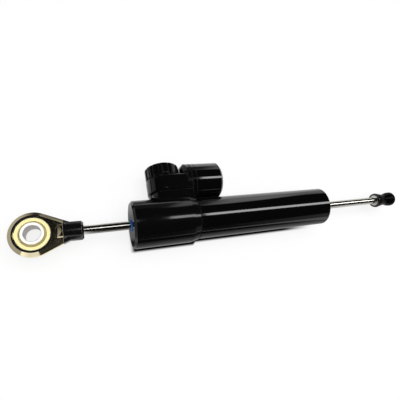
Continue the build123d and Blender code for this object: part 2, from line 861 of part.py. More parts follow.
needle_cone_top = seat_top + needle_lift
needle_shoulder = needle_cone_top + needle_land
needle_tip_height = needle_cone_top - needle_cone_height
needle_block_bottom = guide_bottom + needle_block_lift
needle_block_top = needle_block_bottom + needle_block_height
needle_thread_bottom = needle_block_bottom + needle_thread_floor
spindle_tip = needle_block_top - spindle_engagement
knob_bottom = tower_top + knob_lift
knob_top = knob_bottom + knob_height
spindle_top = knob_bottom + spindle_in_knob
spindle_o_ring_bottom = guide_top + spindle_o_ring_above_guide
bush_top = tower_top - bush_below_top

with BuildPart() as valve_seat:
    with BuildSketch(plan_at(seat_bottom)):
        with Locations((adjuster_x, 0)):
            Circle(valve_seat_radius - seat_gap)
            Circle(orifice_radius, mode=Mode.SUBTRACT)
    extrude(amount=seat_top - seat_bottom)
valve_seat.part.label = "valve_seat"
export_step(valve_seat.part, "parts/valve_seat.step")

with BuildPart() as needle_guide:
    with BuildSketch(plan_at(guide_bottom + part_gap)):
        with Locations((adjuster_x, 0)):
            Circle(guide_radius - seat_gap)
            Rectangle(
                needle_block_width + 2 * running_gap,
                needle_block_width + 2 * running_gap,
                mode=Mode.SUBTRACT,
            )
    extrude(amount=guide_height - part_gap)
needle_guide.part.label = "needle_guide"
export_step(needle_guide.part, "parts/needle_guide.step")

with BuildPart() as valve_needle:
    with BuildSketch(housing_plane):
        around_adjuster(
            (0, needle_tip_height),
            (needle_tip_radius, needle_tip_height),
            (needle_cone_radius, needle_cone_top),
            (needle_cone_radius, needle_shoulder),
            (needle_shank_radius, needle_shoulder),
            (needle_shank_radius, needle_block_bottom),
            (0, needle_block_bottom),
        )
    revolve(axis=adjuster_axis)
    with BuildSketch(plan_at(needle_block_bottom)):
        with Locations((adjuster_x, 0)):
            Rectangle(needle_block_width, needle_block_width)
    extrude(amount=needle_block_top - needle_block_bottom)
    with BuildSketch(plan_at(needle_thread_bottom)):
        with Locations((adjuster_x, 0)):
            Circle(spindle_tip_radius + running_gap)
    extrude(amount=needle_block_top, mode=Mode.SUBTRACT)
valve_needle.part.label = "valve_needle"
export_step(valve_needle.part, "parts/valve_needle.step")

flange_bottom = guide_top + running_gap
flange_top = flange_bottom + flange_height
spindle_ring_top = spindle_o_ring_bottom + spindle_o_ring_width
spindle_groove_radius = spindle_radius - spindle_o_ring_depth

with BuildPart() as adjuster_spindle:
    with BuildSketch(housing_plane):
        around_adjuster(
            (0, spindle_tip),
            (spindle_tip_radius, spindle_tip),
            (spindle_tip_radius, flange_bottom),
            (flange_radius, flange_bottom),
            (flange_radius, flange_top),
            (spindle_radius, flange_top),
            (spindle_radius, spindle_o_ring_bottom),
            (spindle_groove_radius, spindle_o_ring_bottom),
            (spindle_groove_radius, spindle_ring_top),
            (spindle_radius, spindle_ring_top),
            (spindle_radius, spindle_top),
            (screw_radius + seat_gap, spindle_top),
            (screw_radius + seat_gap, spindle_top - screw_depth - part_gap),
            (0, spindle_top - screw_depth - part_gap),
        )
    revolve(axis=adjuster_axis)
    # The flat that drives the knob
    with BuildSketch(plan_at(knob_bottom)):
        with Locations((adjuster_x + spindle_flat + spindle_radius, 0)):
            Rectangle(2 * spindle_radius, 2 * spindle_radius)
    extrude(amount=knob_height, mode=Mode.SUBTRACT)
adjuster_spindle.part.label = "adjuster_spindle"
export_step(adjuster_spindle.part, "parts/adjuster_spindle.step")

with BuildPart() as adjuster_bush:
    with BuildSketch(plan_at(flange_top + running_gap)):
        with Locations((adjuster_x, 0)):
            Circle(bush_bore_radius - seat_gap)
            Circle(spindle_radius + running_gap, mode=Mode.SUBTRACT)
    extrude(amount=bush_top - flange_top - running_gap)
adjuster_bush.part.label = "adjuster_bush"
export_step(adjuster_bush.part, "parts/adjuster_bush.step")

with BuildPart() as spindle_o_ring:
    with BuildSketch(plan_at(spindle_o_ring_bottom + seat_gap)):
        with Locations((adjuster_x, 0)):
            Circle(spindle_radius)
            Circle(spindle_groove_radius + seat_gap, mode=Mode.SUBTRACT)
    extrude(amount=spindle_o_ring_width - 2 * seat_gap)
    fillet(spindle_o_ring.edges(), spindle_o_ring_depth / 4)
spindle_o_ring.part.label = "spindle_o_ring"
export_step(spindle_o_ring.part, "parts/spindle_o_ring.step")

with BuildPart() as adjuster_knob:
    with BuildSketch(housing_plane):
        around_adjuster(
            (0, knob_bottom),
            (knob_radius - knob_edge, knob_bottom),
            (knob_radius, knob_bottom + knob_edge),
            (knob_radius, knob_top - knob_edge),
            (knob_radius - knob_edge, knob_top),
            (0, knob_top),
        )
    revolve(axis=adjuster_axis)
    with BuildSketch(plan_at(knob_bottom - overrun)):
        with Locations((adjuster_x, 0)):
            with PolarLocations(knob_radius - flute_depth + flute_radius, lobe_count, start_angle=lobe_turn):
                Circle(flute_radius)
    extrude(amount=knob_height + 2 * overrun, mode=Mode.SUBTRACT)
    # Drive hole with its flat, and the recess for the screw head
    with BuildSketch(plan_at(knob_bottom - overrun)):
        with Locations((adjuster_x, 0)):
            Circle(spindle_radius + seat_gap)
        with Locations((adjuster_x + spindle_flat + seat_gap + spindle_radius, 0)):
            Rectangle(2 * spindle_radius, 3 * spindle_radius, mode=Mode.SUBTRACT)
    extrude(amount=spindle_top - knob_bottom + overrun + seat_gap, mode=Mode.SUBTRACT)
    with BuildSketch(plan_at(spindle_top)):
        with Locations((adjuster_x, 0)):
            Circle(screw_radius + seat_gap)
    extrude(amount=knob_height, mode=Mode.SUBTRACT)
    with BuildSketch(plan_at(knob_top - knob_recess_depth)):
        with Locations((adjuster_x, 0)):
            Circle(knob_recess_radius)
    extrude(amount=knob_height, mode=Mode.SUBTRACT)
adjuster_knob.part.label = "adjuster_knob"
export_step(adjuster_knob.part, "parts/adjuster_knob.step")

screw_seat = knob_top - knob_recess_depth

with BuildPart() as knob_screw:
    with BuildSketch(plan_at(spindle_top - screw_depth)):
        with Locations((adjuster_x, 0)):
            Circle(screw_radius)
    extrude(amount=screw_seat - spindle_top + screw_depth)
    with BuildSketch(plan_at(screw_seat)):
        with Locations((adjuster_x, 0)):
            Circle(screw_head_radius)
    extrude(amount=screw_head_height)
    fillet(knob_screw.edges().sort_by(Axis((0, 0, 0), across))[-1], screw_head_height / 4)
    with BuildSketch(plan_at(screw_seat + screw_head_height - screw_key_depth)):
        with Locations((adjuster_x, 0)):
            RegularPolygon(screw_key, 6)
    extrude(amount=screw_head_height, mode=Mode.SUBTRACT)
knob_screw.part.label = "knob_screw"
export_step(knob_screw.part, "parts/knob_screw.step")
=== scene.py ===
"""Dresses a motorcycle steering damper that lies on its side on a pale table."""

import json
import logging
import math
from dataclasses import dataclass, replace
from enum import Enum
from functools import partial

import bmesh
import bpy
from mathutils import Matrix, Vector

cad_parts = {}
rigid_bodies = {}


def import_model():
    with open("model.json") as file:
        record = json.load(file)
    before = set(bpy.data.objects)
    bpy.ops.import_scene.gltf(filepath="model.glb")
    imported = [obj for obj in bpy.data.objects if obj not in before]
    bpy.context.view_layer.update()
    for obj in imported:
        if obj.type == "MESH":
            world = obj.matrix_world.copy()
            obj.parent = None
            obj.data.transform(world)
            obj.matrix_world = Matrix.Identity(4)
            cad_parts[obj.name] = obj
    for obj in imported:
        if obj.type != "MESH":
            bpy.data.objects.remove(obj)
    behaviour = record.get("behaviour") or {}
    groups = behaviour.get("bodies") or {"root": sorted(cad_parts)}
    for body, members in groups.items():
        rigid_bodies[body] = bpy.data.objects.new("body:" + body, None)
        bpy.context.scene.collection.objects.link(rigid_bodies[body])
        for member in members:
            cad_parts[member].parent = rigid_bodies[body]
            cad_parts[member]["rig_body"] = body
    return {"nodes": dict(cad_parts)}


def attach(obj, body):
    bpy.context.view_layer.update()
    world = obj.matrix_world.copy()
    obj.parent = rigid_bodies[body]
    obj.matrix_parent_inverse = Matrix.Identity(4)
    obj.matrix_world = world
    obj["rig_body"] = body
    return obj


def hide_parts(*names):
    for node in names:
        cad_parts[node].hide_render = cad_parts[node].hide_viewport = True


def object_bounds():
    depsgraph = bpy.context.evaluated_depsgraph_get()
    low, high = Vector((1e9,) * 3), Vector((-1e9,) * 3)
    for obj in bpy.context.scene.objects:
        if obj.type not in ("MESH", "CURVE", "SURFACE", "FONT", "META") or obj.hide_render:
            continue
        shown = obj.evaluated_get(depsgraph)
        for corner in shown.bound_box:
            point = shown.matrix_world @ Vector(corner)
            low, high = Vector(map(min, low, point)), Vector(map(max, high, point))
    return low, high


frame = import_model()
CAD_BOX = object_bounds()

log = logging.getLogger("steering_damper")

Tree = bpy.types.NodeTree
Socket = bpy.types.NodeSocket
Value = float | Socket
Colour = tuple[float, float, float]
Place = tuple[float, float, float]
Span = tuple[float, float]
Stops = tuple[Span, ...]

MM = 0.001
SHARP_ANGLE = math.radians(28.0)
WELD_DISTANCE = 1e-6


class Measure(Enum):
    """What a zone is measured by, each the name of an output of the group place_on_damper."""

    ALONG = "Along"
    HEIGHT = "Height"
    RADIUS = "Radius"
    OFF_ROD = "Off Rod"


# Shader groups


def new_group(name: str, inputs: dict[str, float], outputs: list[str]) -> Tree:
    """Starts a shader node group.

    Args:
        name: The group's name.
        inputs: Each number that the group takes, with its default.
        outputs: Each number that the group puts out.

    Returns:
        The new tree, with its group input and output nodes named In and Out.
    """
    tree = bpy.data.node_groups.new(name, "ShaderNodeTree")
    add_socket = partial(tree.interface.new_socket, socket_type="NodeSocketFloat")
    for label, value in inputs.items():
        add_socket(name=label, in_out="INPUT").default_value = value
    for label in outputs:
        add_socket(name=label, in_out="OUTPUT")
    tree.nodes.new("NodeGroupInput").name = "In"
    tree.nodes.new("NodeGroupOutput").name = "Out"
    return tree


def node(tree: Tree, kind: str, **values: object) -> bpy.types.Node:
    """Adds a node to a tree and sets its properties.

    Args:
        tree: The tree to add it to.
        kind: The node's type name.
        **values: Properties of the node, by name.

    Returns:
        The new node.
    """
    made = tree.nodes.new(kind)
    for key, value in values.items():
        setattr(made, key, value)
    return made


def feed(tree: Tree, socket: Socket, value: Value) -> None:
    """Links a socket to another, or sets its number.

    Args:
        tree: The tree of both.
        socket: The socket to feed.
        value: The other socket or the number.
    """
    if isinstance(value, (int, float)):
        socket.default_value = value
    else:
        tree.links.new(value, socket)


def maths(tree: Tree, operation: str, *values: Value, clamp: bool = False) -> Socket:
    """Adds a Math node and feeds it.

    Args:
        tree: The tree to add it to.
        operation: The Math node's operation.
        *values: Its inputs, as sockets or numbers.
        clamp: Whether the result is kept from 0 to 1.

    Returns:
        The result's socket.
    """
    made = node(tree, "ShaderNodeMath", operation=operation, use_clamp=clamp)
    for socket, value in zip(made.inputs, values):
        feed(tree, socket, value)
    return made.outputs[0]


def mixed(tree: Tree, share: Value, first: Value, second: Value) -> Socket:
    """Mixes two numbers.

    Args:
        tree: The tree to build it in.
        share: How much of the second to take.
        first: The first number or its socket.
        second: The second number or its socket.

    Returns:
        The mixed number's socket.
    """
    made = node(tree, "ShaderNodeMix")
    for label, value in (("Factor", share), ("A", first), ("B", second)):
        feed(tree, made.inputs[label], value)
    return made.outputs["Result"]


def tinted(tree: Tree, share: Socket, first: Colour | Socket, second: Colour) -> Socket:
    """Mixes two colours.

    Args:
        tree: The tree to build it in.
        share: How much of the second to take.
        first: The first colour or its socket.
        second: The second colour.

    Returns:
        The mixed colour's socket.
    """
    made = node(tree, "ShaderNodeMix", data_type="RGBA")
    tree.links.new(share, made.inputs["Factor"])
    if isinstance(first, tuple):
        made.inputs["A"].default_value = (*first, 1.0)
    else:
        tree.links.new(first, made.inputs["A"])
    made.inputs["B"].default_value = (*second, 1.0)
    return made.outputs["Result"]


def patterned(tree: Tree, scale: Value, detail: float, roughness: float = 0.5) -> Socket:
    """Lays noise over the damper by its own coordinates.

    Args:
        tree: The tree to build it in.
        scale: The noise's scale.
        detail: The noise's detail.
        roughness: The noise's roughness.

    Returns:
        The noise's socket.
    """
    noise = node(tree, "ShaderNodeTexNoise")
    for label, value in (("Scale", scale), ("Detail", detail), ("Roughness", roughness)):
        feed(tree, noise.inputs[label], value)
    tree.links.new(node(tree, "ShaderNodeTexCoord").outputs["Object"], noise.inputs["Vector"])
    return noise.outputs["Fac"]


def edge_wear_group(sharpness: float = 14.0, least: float = 0.1) -> Tree:
    """Builds the group that finds worn edges.

    Args:
        sharpness: How soon a turn of the surface counts as an edge.
        least: How much an edge wears where the noise is darkest.

    Returns:
        A group with the inputs Reach, Amount and Scale and the output Mask.
    """
    tree = new_group("edge_wear", {"Reach": 0.4 * MM, "Amount": 1.0, "Scale": 900.0}, ["Mask"])
    given, out = tree.nodes["In"], tree.nodes["Out"]
    rounded = node(tree, "ShaderNodeBevel", samples=6)
    tree.links.new(given.outputs["Reach"], rounded.inputs["Radius"])
    dot = node(tree, "ShaderNodeVectorMath", operation="DOT_PRODUCT")
    tree.links.new(rounded.outputs["Normal"], dot.inputs[0])
    tree.links.new(node(tree, "ShaderNodeNewGeometry").outputs["Normal"], dot.inputs[1])
    turn = maths(tree, "MULTIPLY", maths(tree, "SUBTRACT", 1.0, dot.outputs["Value"]), sharpness)
    noise = patterned(tree, given.outputs["Scale"], detail=4.0)
    broken = maths(tree, "MULTIPLY", turn, maths(tree, "ADD", noise, least))
    mask = maths(tree, "MULTIPLY", broken, given.outputs["Amount"], clamp=True)
    tree.links.new(mask, out.inputs["Mask"])
    return tree


def grain_group() -> Tree:
    """Builds the group for the fine, even grain of a finished surface.

    Returns:
        A group with the input Scale and the outputs Fine and Cloud.
    """
    tree = new_group("surface_grain", {"Scale": 3000.0}, ["Fine", "Cloud"])
    given, out = tree.nodes["In"], tree.nodes["Out"]
    fine = patterned(tree, given.outputs["Scale"], detail=3.0, roughness=0.6)
    tree.links.new(fine, out.inputs["Fine"])
    tree.links.new(patterned(tree, 60.0, detail=5.0), out.inputs["Cloud"])
    return tree


def turning_group() -> Tree:
    """Builds the group for the fine rings that a lathe tool leaves round the rod's axis.

    Returns:
        A group with the input Pitch and the output Rings.
    """
    tree = new_group("turning_rings", {"Pitch": 0.2 * MM}, ["Rings"])
    given, out = tree.nodes["In"], tree.nodes["Out"]
    split = node(tree, "ShaderNodeSeparateXYZ")
    tree.links.new(node(tree, "ShaderNodeTexCoord").outputs["Object"], split.inputs[0])
    turns = maths(tree, "DIVIDE", split.outputs["X"], given.outputs["Pitch"])
    wave = maths(tree, "SINE", maths(tree, "MULTIPLY", turns, 2.0 * math.pi))
    noise = node(tree, "ShaderNodeTexNoise", noise_dimensions="1D")
    noise.inputs["Detail"].default_value = 2.0
    noise.inputs["Scale"].default_value = 1.0
    tree.links.new(turns, noise.inputs["W"])
    tree.links.new(maths(tree, "MULTIPLY", wave, noise.outputs["Fac"]), out.inputs["Rings"])
    return tree


def dust_group(fineness: float = 4.0) -> Tree:
    """Builds the group for the little dust that settles on faces that look up.

    Args:
        fineness: The power that thins the noise to specks.

    Returns:
        A group with the input Amount and the output Mask.
    """
    tree = new_group("settled_dust", {"Amount": 0.05}, ["Mask"])
    given, out = tree.nodes["In"], tree.nodes["Out"]
    split = node(tree, "ShaderNodeSeparateXYZ")
    tree.links.new(node(tree, "ShaderNodeNewGeometry").outputs["Normal"], split.inputs[0])
    upward = maths(tree, "MAXIMUM", split.outputs["Z"], 0.0)
    speck = maths(tree, "POWER", patterned(tree, 350.0, detail=8.0, roughness=0.75), fineness)
    settled = maths(tree, "MULTIPLY", upward, speck)
    tree.links.new(maths(tree, "MULTIPLY", settled, given.outputs["Amount"]), out.inputs["Mask"])
    return tree


def place_group() -> Tree:
    """Builds the group that says where a point lies on the damper.

    Returns:
        A group with an output for each Measure, in metres: the way along the rod from the eye, the
        height over or under the eye's middle, and the distances from the axis of the eye's bore and
        from the rod's.
    """
    tree = new_group("place_on_damper", {}, [measure.value for measure in Measure])
    out = tree.nodes["Out"]
    split = node(tree, "ShaderNodeSeparateXYZ")
    tree.links.new(node(tree, "ShaderNodeTexCoord").outputs["Object"], split.inputs[0])
    tree.links.new(split.outputs["X"], out.inputs[Measure.ALONG.value])
    tree.links.new(maths(tree, "ABSOLUTE", split.outputs["Z"]), out.inputs[Measure.HEIGHT.value])
    for measure, axes in ((Measure.RADIUS, ("X", "Y")), (Measure.OFF_ROD, ("Y", "Z"))):
        squares = [
            maths(tree, "POWER", maths(tree, "ABSOLUTE", split.outputs[axis]), 2.0) for axis in axes
        ]
        distance = maths(tree, "SQRT", maths(tree, "ADD", *squares))
        tree.links.new(distance, out.inputs[measure.value])
    return tree


# Finishes


@dataclass(frozen=True)
class Zone:
    """A part of a piece that is finished otherwise, from one place to another of a measure."""

    measure: Measure
    starts: float
    full: float
    colour: Colour
    roughness: float
    metallic: float


@dataclass(frozen=True)
class Finish:
    """One surface finish, made once as a material and shared by the pieces that have it.

    The cloud is the share by which the colour strays, and the unevenness that of the roughness.
    """

    name: str
    colour: Colour
    worn: Colour
    roughness: float
    metallic: float = 0.0
    worn_metallic: float = 0.8
    wear: float = 0.0
    wear_reach: float = 0.35 * MM
    grain: float = 0.02
    grain_scale: float = 3000.0
    cloud: float = 0.12
    unevenness: float = 0.35
    rings: float = 0.0
    ring_pitch: float = 0.22 * MM
    bump_strength: float = 0.5
    bump_distance: float = 0.1 * MM
    dust: float = 0.04
    dust_colour: Colour = (0.5, 0.49, 0.47)
    dust_roughness: float = 0.5
    specular: float = 0.5
    ior: float = 1.7
    zones: tuple[Zone, ...] = ()

    def material(self) -> bpy.types.Material:
        """Builds the material, or finds the one already built.

        Returns:
            The material.
        """
        known = bpy.data.materials.get(self.name)
        if known:
            return known
        made = bpy.data.materials.new(self.name)
        made.use_nodes = True
        tree = made.node_tree
        shader = tree.nodes["Principled BSDF"]
        shader.inputs["Specular IOR Level"].default_value = self.specular
        shader.inputs["IOR"].default_value = self.ior
        grain = self._group(tree, "surface_grain", {"Scale": self.grain_scale})
        wear = {"Reach": self.wear_reach, "Amount": self.wear}
        worn = self._group(tree, "edge_wear", wear)["Mask"]
        dust = self._group(tree, "settled_dust", {"Amount": self.dust})["Mask"]
        rings = self._group(tree, "turning_rings", {"Pitch": self.ring_pitch})["Rings"]
        darker, paler = (
            tuple(min(1.0, level * (1.0 + stray)) for level in self.colour)
            for stray in (-self.cloud, self.cloud)
        )
        colour = tinted(tree, grain["Cloud"], darker, paler)
        matt, metal = self.roughness, self.metallic
        for zone in self.zones:
            colour, matt, metal = self._zoned(tree, zone, colour, matt, metal)
        bare = tinted(tree, worn, colour, self.worn)
        tree.links.new(tinted(tree, dust, bare, self.dust_colour), shader.inputs["Base Color"])
        add, times = partial(maths, tree, "ADD"), partial(maths, tree, "MULTIPLY")
        middling = maths(tree, "SUBTRACT", grain["Cloud"], 0.5)
        uneven = add(times(middling, self.roughness * self.unevenness), matt)
        gritty = add(uneven, times(dust, self.dust_roughness), clamp=True)
        tree.links.new(gritty, shader.inputs["Roughness"])
        metallic = add(times(worn, self.worn_metallic), metal)
        tree.links.new(maths(tree, "MINIMUM", metallic, 1.0), shader.inputs["Metallic"])
        bump = node(tree, "ShaderNodeBump")
        bump.inputs["Strength"].default_value = self.bump_strength
        bump.inputs["Distance"].default_value = self.bump_distance
        height = add(times(grain["Fine"], self.grain), times(rings, self.rings))
        tree.links.new(height, bump.inputs["Height"])
        tree.links.new(bump.outputs["Normal"], shader.inputs["Normal"])
        return made

    def _zoned(
        self, tree: Tree, zone: Zone, colour: Socket, matt: Value, metal: Value
    ) -> tuple[Socket, Socket, Socket]:
        """Lays one zone over what is there so far.

        Args:
            tree: The material's tree.
            zone: The zone.
            colour: The colour so far.
            matt: The roughness so far.
            metal: How metallic it is so far.

        Returns:
            The sockets of the three with the zone over them.
        """
        mask = node(tree, "ShaderNodeMapRange")
        mask.inputs["From Min"].default_value = zone.starts
        mask.inputs["From Max"].default_value = zone.full
        place = self._group(tree, "place_on_damper", {})
        tree.links.new(place[zone.measure.value], mask.inputs["Value"])
        share = mask.outputs["Result"]
        return (
            tinted(tree, share, colour, zone.colour),
            mixed(tree, share, matt, zone.roughness),
            mixed(tree, share, metal, zone.metallic),
        )

    @staticmethod
    def _group(tree: Tree, name: str, values: dict[str, float]) -> bpy.types.NodeOutputs:
        """Places a shader group with its own values.

        Args:
            tree: The material's tree.
            name: The group's name.
            values: The inputs to set.

        Returns:
            The group node's outputs.
        """
        made = node(tree, "ShaderNodeGroup", node_tree=bpy.data.node_groups[name])
        for label, value in values.items():
            made.inputs[label].default_value = value
        return made.outputs


SATIN_BLACK = Finish(
    "satin_black_anodised",
    (0.0022, 0.0022, 0.0024),
    (0.10, 0.10, 0.11),
    0.11,
    wear=0.25,
    grain=0.005,
    dust=0.004,
    ior=1.5,
)
GLOSS_BLACK = Finish(
    "gloss_black_anodised",
    (0.0016, 0.0016, 0.0018),
    (0.10, 0.10, 0.11),
    0.07,
    wear=0.2,
    grain=0.002,
    dust=0.003,
)
PLATED_STEEL = Finish(
    "yellow_zinc_plated_steel",
    (0.84, 0.74, 0.50),
    (0.9, 0.86, 0.7),
    0.12,
    metallic=1.0,
    wear=0.3,
    grain=0.002,
    cloud=0.2,
    dust=0.01,
)
HARD_CHROME = Finish(
    "hard_chromed_rod",
    (0.82, 0.80, 0.74),
    (0.9, 0.9, 0.9),
    0.15,
    metallic=1.0,
    grain=0.002,
    dust=0.0,
)
# The ball's gold colour is a painted reflection of the race on its polished sphere
BALL_PAINTED_RACE_REFLECTION = Finish(
    "ball_painted_race_reflection", (0.50, 0.42, 0.20), (0.9, 0.9, 0.9), 0.3, metallic=0.2, cloud=0.04
)
PALE_GOLD = Finish(
    "pale_gold_race", (0.93, 0.84, 0.42), (0.95, 0.95, 0.85), 0.5, metallic=0.1, cloud=0.04
)
SPRING_STEEL = Finish(
    "blackened_spring_steel", (0.02, 0.02, 0.02), (0.3, 0.3, 0.3), 0.35, metallic=0.4, wear=0.4
)
BLUE_POLYMER = Finish(
    "blue_wiper_rubber", (0.02, 0.10, 0.34), (0.1, 0.25, 0.5), 0.4, grain=0.05, grain_scale=1500.0
)
BLACK_RUBBER = Finish(
    "moulded_black_rubber",
    (0.0015, 0.0015, 0.0015),
    (0.01, 0.01, 0.01),
    0.2,
    wear=0.2,
    dust=0.003,
    specular=0.05,
    ior=1.5,
)
POLISHED_WASHER = Finish(
    "polished_stop_washer", (0.86, 0.84, 0.78), (0.9, 0.9, 0.9), 0.2, metallic=1.0, rings=0.05
)
BRIGHT_ZINC = Finish(
    "bright_zinc_screw", (0.62, 0.64, 0.66), (0.8, 0.8, 0.8), 0.3, metallic=1.0, wear=0.3
)
TURNED_BRONZE = Finish(
    "turned_bronze", (0.55, 0.36, 0.17), (0.8, 0.6, 0.4), 0.35, metallic=1.0, rings=0.3
)
GROUND_STEEL = Finish(
    "ground_steel", (0.5, 0.5, 0.52), (0.8, 0.8, 0.8), 0.28, metallic=1.0, rings=0.2
)
BARE_ALUMINIUM = Finish(
    "turned_aluminium", (0.72, 0.72, 0.74), (0.9, 0.9, 0.9), 0.32, metallic=1.0, rings=0.3
)
WHITE_PTFE = Finish("moulded_white_ptfe", (0.8, 0.79, 0.76), (0.85, 0.85, 0.85), 0.5, grain=0.05)


# Mesh work


def smooth(mesh: bpy.types.Mesh) -> None:
    """Joins a mesh's loose corners, turns its faces outward and shades its curved faces smooth.

    Args:
        mesh: The mesh.
    """
    work = bmesh.new()
    work.from_mesh(mesh)
    bmesh.ops.remove_doubles(work, verts=work.verts, dist=WELD_DISTANCE)
    bmesh.ops.dissolve_degenerate(work, edges=work.edges, dist=WELD_DISTANCE / 10.0)
    bmesh.ops.recalc_face_normals(work, faces=work.faces)
    for face in work.faces:
        face.smooth = True
    for edge in work.edges:
        edge.smooth = len(edge.link_faces) == 2 and edge.calc_face_angle(0.0) < SHARP_ANGLE
    work.to_mesh(mesh)
    work.free()


def stand_in(mesh: bpy.types.Mesh, name: str) -> bpy.types.Object:
    """Makes a piece that stands for a CAD node.

    Args:
        mesh: The piece's mesh, in the damper's own frame.
        name: The CAD node's name.

    Returns:
        The new object, riding where the node rides.
    """
    smooth(mesh)
    made = bpy.data.objects.new(mesh.name, mesh)
    bpy.context.scene.collection.objects.link(made)
    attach(made, frame["nodes"][name]["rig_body"])
    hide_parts(name)
    return made


def grown(tree: Tree, values: dict[str, float], name: str) -> bpy.types.Mesh:
    """Runs a Geometry Nodes tree and keeps what it makes as a plain mesh.

    Args:
        tree: The tree.
        values: The tree's inputs by name.
        name: The new mesh's name.

    Returns:
        The mesh, with no modifier left.
    """
    seed = bpy.data.objects.new(f"{name}_seed", bpy.data.meshes.new(f"{name}_seed"))
    bpy.context.scene.collection.objects.link(seed)
    maker = seed.modifiers.new("shape", "NODES")
    maker.node_group = tree
    for item in tree.interface.items_tree:
        if item.item_type == "SOCKET" and item.in_out == "INPUT" and item.name in values:
            maker[item.identifier] = values[item.name]
    ready = seed.evaluated_get(bpy.context.evaluated_depsgraph_get())
    mesh = bpy.data.meshes.new_from_object(ready)
    mesh.name = name
    seed.modifiers.remove(maker)
    bpy.data.objects.remove(seed)
    return mesh


def dress(target: bpy.types.Object, finish: Finish) -> None:
    """Gives an object one finish.

    Args:
        target: The object to dress.
        finish: Its finish.
    """
    target.data.materials.clear()
    target.data.materials.append(finish.material())


# Assemblies


@dataclass
class Assembly:
    """Pieces that belong together."""

    def shown(self) -> dict[str, Finish]:
        """Gives the pieces that show, with their finishes."""
        return {}

    def hidden(self) -> dict[str, Finish]:
        """Gives the pieces inside, with their finishes."""
        return {}

    def build(self) -> None:
        """Makes smooth copies of the pieces that show and dresses all the pieces."""
        for name, finish in self.shown().items():
            mesh = frame["nodes"][name].data.copy()
            mesh.name = f"{name}_surface"
            dress(stand_in(mesh, name), finish)
            log.info("dressed %s in %s", name, finish.name)
        for name, finish in self.hidden().items():
            dress(frame["nodes"][name], finish)
            log.info("dressed %s in %s", name, finish.name)


@dataclass
class RodEye(Assembly):
    """The eye at the end of the rod, with its spherical bearing.

    Each span says where a finish starts and where it is full.
    """

    neck_black: Span = (17.4 * MM, 17.7 * MM)
    ball_flat: Span = (5.7 * MM, 5.92 * MM)
    ball_bore: Span = (5.15 * MM, 5.05 * MM)

    def shown(self) -> dict[str, Finish]:
        """Gives the pieces of the eye, with their finishes.

        Returns:
            Each piece's finish, with the eye's black neck and the ball's flats and bore as zones;
            the ball's gold elsewhere is a painted reflection of the race.
        """
        neck = Zone(Measure.ALONG, *self.neck_black, (0.003, 0.003, 0.0035), 0.16, 0.0)
        flat = Zone(Measure.HEIGHT, *self.ball_flat, (0.93, 0.92, 0.87), 0.35, 0.0)
        bore = Zone(Measure.RADIUS, *self.ball_bore, (0.45, 0.42, 0.42), 0.4, 0.3)
        return {
            "rod_eye": replace(PLATED_STEEL, zones=(neck,)),
            "bearing_race": PALE_GOLD,
            "bearing_ball": replace(BALL_PAINTED_RACE_REFLECTION, zones=(flat, bore)),
            "bearing_snap_rings": SPRING_STEEL,
        }


@dataclass
class SlidingRod(Assembly):
    """The rod, with its piston and with the washer and the rubber cap on its free end."""

    washer_black: Span = (4.4 * MM, 4.6 * MM)

    def shown(self) -> dict[str, Finish]:
        """Gives the rod and what shows on it, with their finishes.

        Returns:
            Each piece's finish, with the washer's black rim as a zone.
        """
        rim = Zone(Measure.OFF_ROD, *self.washer_black, (0.002, 0.002, 0.002), 0.3, 0.0)
        return {
            "damper_rod": HARD_CHROME,
            "bump_washer": replace(POLISHED_WASHER, zones=(rim,)),
            "rod_end_cap": BLACK_RUBBER,
        }

    def hidden(self) -> dict[str, Finish]:
        """Gives the pieces of the piston.

        Returns:
            Each piece's finish.
        """
        return {
            "damper_piston": BARE_ALUMINIUM,
            "piston_ring": WHITE_PTFE,
            "piston_clips": SPRING_STEEL,
        }


@dataclass
class Housing(Assembly):
    """The head, the tube and what seals them."""

    head_radius: float = 16.75 * MM

    def shown(self) -> dict[str, Finish]:
        """Gives the pieces that show.

        Returns:
            Each piece's finish.
        """
        return {
            "head_block": SATIN_BLACK,
            "damper_tube": GLOSS_BLACK,
            "front_wiper": BLUE_POLYMER,
            "rear_wiper": BLUE_POLYMER,
            "tube_end_plug": SATIN_BLACK,
            "tube_ring": SPRING_STEEL,
        }

    def hidden(self) -> dict[str, Finish]:
        """Gives the pieces inside.

        Returns:
            Each piece's finish.
        """
        return {
            "cylinder_liner": GROUND_STEEL,
            "front_bush": TURNED_BRONZE,
            "rear_bush": TURNED_BRONZE,
            "front_seal": BLACK_RUBBER,
            "rear_seal": BLACK_RUBBER,
            "tube_o_ring": BLACK_RUBBER,
            "plug_o_ring": BLACK_RUBBER,
        }


@dataclass
class Reservoir(Assembly):
    """The reservoir barrel beside the tower, with its floating piston."""

    radius: float = 14.0 * MM
    offset: float = 29.75 * MM

    def lean(self, head_radius: float) -> float:
        """Finds how far the housing leans when the head and the reservoir both touch the table.

        Args:
            head_radius: The head's radius.

        Returns:
            The angle.
        """
        return math.asin((head_radius - self.radius) / self.offset)

    def shown(self) -> dict[str, Finish]:
        """Gives the pieces that show, with their finishes."""
        return {"reservoir_barrel": GLOSS_BLACK, "charging_screw": BRIGHT_ZINC}

    def hidden(self) -> dict[str, Finish]:
        """Gives the pieces inside.

        Returns:
            Each piece's finish.
        """
        return {
            "reservoir_o_ring": BLACK_RUBBER,
            "reservoir_piston": BARE_ALUMINIUM,
            "float_o_ring": BLACK_RUBBER,
        }


